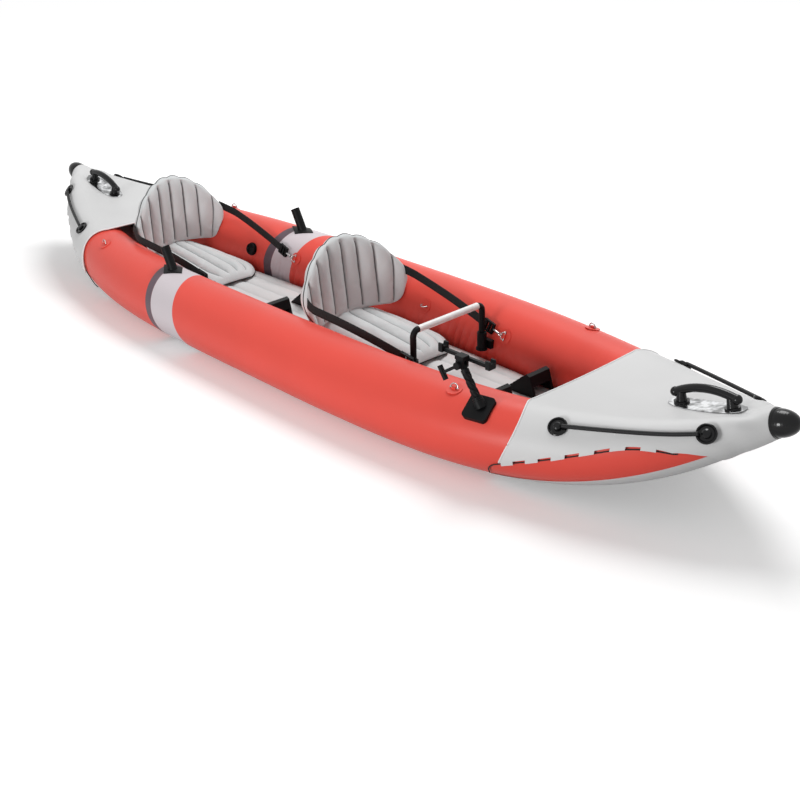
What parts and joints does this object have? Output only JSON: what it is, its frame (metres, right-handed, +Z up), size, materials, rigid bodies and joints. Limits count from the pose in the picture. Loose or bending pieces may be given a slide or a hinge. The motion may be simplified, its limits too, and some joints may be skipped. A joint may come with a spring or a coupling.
{
  "type": "tandem inflatable kayak",
  "caption": "Inflatable kayak for a pair of paddlers: side tubes, ribbed floor, laced end decks, strapped folding seats, rod holders, crossbar and clamp-on mount.",
  "frame": {"origin": "on the ground under the middle of the hull", "axes": "+X to the bow, +Y to port, +Z up"},
  "size_m": [3.8396, 0.942, 0.4739],
  "materials": {
    "red_coated_fabric": "satin coated sheet",
    "grey_coated_fabric": "satin coated sheet",
    "seat_fabric": "matt woven cover",
    "black_webbing": "woven",
    "black_rope": "braided",
    "plated_steel": "plated",
    "white_tube": "white coating",
    "glossy_patch": "gloss",
    "glossy_black": "gloss",
    "black_plastic": "moulded"
  },
  "bodies": {
    "hull": {"port_tube": "red_coated_fabric", "starboard_tube": "red_coated_fabric", "floor_chamber": "grey_coated_fabric", "hull_bottom": "grey_coated_fabric", "bow_keel_wrap": "grey_coated_fabric", "stern_keel_wrap": "grey_coated_fabric", "bow_deck": "grey_coated_fabric", "stern_deck": "grey_coated_fabric", "deck_tabs": "grey_coated_fabric", "bow_nose_cap": "glossy_black", "stern_nose_cap": "glossy_black", "bow_handle": "glossy_black", "stern_handle": "glossy_black", "handle_patches": "glossy_patch", "rope_anchors": "glossy_black", "bow_port_line": "black_rope", "bow_starboard_line": "black_rope", "stern_port_line": "black_rope", "stern_starboard_line": "black_rope", "bow_port_lacing": "black_rope", "bow_starboard_lacing": "black_rope", "stern_port_lacing": "black_rope", "stern_starboard_lacing": "black_rope", "rear_seat_base": "seat_fabric", "front_seat_base": "seat_fabric", "seat_welts": "black_webbing", "rear_port_strap": "black_webbing", "rear_starboard_strap": "black_webbing", "front_port_strap": "black_webbing", "front_starboard_strap": "black_webbing", "strap_buckles": "black_plastic", "strap_hooks": "plated_steel", "ring_patches": "red_coated_fabric", "strap_rings": "plated_steel", "crossbar_sockets": "black_plastic", "port_rod_holder": "black_plastic", "starboard_rod_holder": "black_plastic", "mount_base": "black_plastic", "valve_bodies": "black_plastic", "port_valve_spring": "plated_steel", "starboard_valve_spring": "plated_steel", "footrests": "black_plastic"},
    "rear_back": {"rear_backrest": "seat_fabric"},
    "front_back": {"front_backrest": "seat_fabric"},
    "crossbar": {"crossbar_tube": "white_tube", "crossbar_legs": "black_plastic"},
    "mount_post": {"mount_post": "black_plastic"},
    "mount_head": {"mount_head": "black_plastic", "mount_cradle": "black_plastic"},
    "mount_lever": {"mount_lever": "black_plastic"},
    "port_cap": {"port_valve_cap": "black_plastic"},
    "starboard_cap": {"starboard_valve_cap": "black_plastic"},
    "port_plunger": {"port_valve_plunger": "plated_steel"},
    "starboard_plunger": {"starboard_valve_plunger": "plated_steel"},
    "bow_port_ring": {"bow_port_ring": "plated_steel"},
    "bow_starboard_ring": {"bow_starboard_ring": "plated_steel"},
    "stern_port_ring": {"stern_port_ring": "plated_steel"},
    "stern_starboard_ring": {"stern_starboard_ring": "plated_steel"},
    "spare_port_ring": {"spare_port_ring": "plated_steel"},
    "spare_starboard_ring": {"spare_starboard_ring": "plated_steel"}
  },
  "joints": [
    {"name": "rear_backrest_fold", "type": "hinge", "parent": "hull", "child": "rear_back", "pos_m": [-0.986, 0, 0.212], "axis": [0, 1, 0], "range_deg": [0, 42], "deforming": ["rear_port_strap", "rear_starboard_strap"]},
    {"name": "front_backrest_fold", "type": "hinge", "parent": "hull", "child": "front_back", "pos_m": [0.137, 0, 0.212], "axis": [0, 1, 0], "range_deg": [0, 62], "deforming": ["front_port_strap", "front_starboard_strap"]},
    {"name": "crossbar_lift", "type": "slide", "parent": "hull", "child": "crossbar", "axis": [0, 0, 1], "range_m": [0, 0.075]},
    {"name": "mount_swivel", "type": "hinge", "parent": "hull", "child": "mount_post", "pos_m": [1.072, -0.35373, 0.27272], "axis": [-0.5592, 0, 0.829], "range_deg": [-90, 90]},
    {"name": "mount_tilt", "type": "hinge", "parent": "mount_post", "child": "mount_head", "pos_m": [1.00602, -0.35373, 0.37055], "axis": [0, 1, 0], "range_deg": [-40, 40]},
    {"name": "mount_lever_turn", "type": "hinge", "parent": "mount_head", "child": "mount_lever", "pos_m": [1.00602, -0.35373, 0.37055], "axis": [0, 1, 0], "range_deg": [-60, 30]},
    {"name": "bow_port_ring_flip", "type": "hinge", "parent": "hull", "child": "bow_port_ring", "pos_m": [0.95514, 0.33569, 0.26832], "axis": [0.9914, -0.1308, 0.0096], "range_deg": [-105, 55]},
    {"name": "bow_starboard_ring_flip", "type": "hinge", "parent": "hull", "child": "bow_starboard_ring", "pos_m": [0.95514, -0.33569, 0.26832], "axis": [-0.9914, -0.1308, -0.0096], "range_deg": [-105, 55]},
    {"name": "stern_port_ring_flip", "type": "hinge", "parent": "hull", "child": "stern_port_ring", "pos_m": [-1.08534, 0.3409, 0.26037], "axis": [0.9845, 0.1743, -0.0206], "range_deg": [-105, 55]},
    {"name": "stern_starboard_ring_flip", "type": "hinge", "parent": "hull", "child": "stern_starboard_ring", "pos_m": [-1.08534, -0.3409, 0.26037], "axis": [-0.9845, 0.1743, 0.0206], "range_deg": [-105, 55]},
    {"name": "spare_port_ring_flip", "type": "hinge", "parent": "hull", "child": "spare_port_ring", "pos_m": [0.26597, 0.21174, 0.19127], "axis": [1, -0.007, 0], "range_deg": [-105, 55]},
    {"name": "spare_starboard_ring_flip", "type": "hinge", "parent": "hull", "child": "spare_starboard_ring", "pos_m": [0.26597, -0.21174, 0.19127], "axis": [-1, -0.007, 0], "range_deg": [-105, 55]},
    {"name": "port_valve_cap_turn", "type": "hinge", "parent": "hull", "child": "port_cap", "pos_m": [-0.769, 0.19297, 0.17239], "axis": [0.0771, -0.953, 0.2931], "range_deg": [0, 120]},
    {"name": "port_valve_press", "type": "slide", "parent": "hull", "child": "port_plunger", "axis": [-0.0771, 0.953, -0.2931], "range_m": [0, 0.006], "stiffness_N_per_m": 100, "springref_m": -0.004, "deforming": ["port_valve_spring"]},
    {"name": "starboard_valve_cap_turn", "type": "hinge", "parent": "hull", "child": "starboard_cap", "pos_m": [-0.769, -0.19297, 0.17239], "axis": [0.0771, 0.953, 0.2931], "range_deg": [0, 120]},
    {"name": "starboard_valve_press", "type": "slide", "parent": "hull", "child": "starboard_plunger", "axis": [-0.0771, -0.953, -0.2931], "range_m": [0, 0.006], "stiffness_N_per_m": 100, "springref_m": -0.004, "deforming": ["starboard_valve_spring"]}
  ]
}
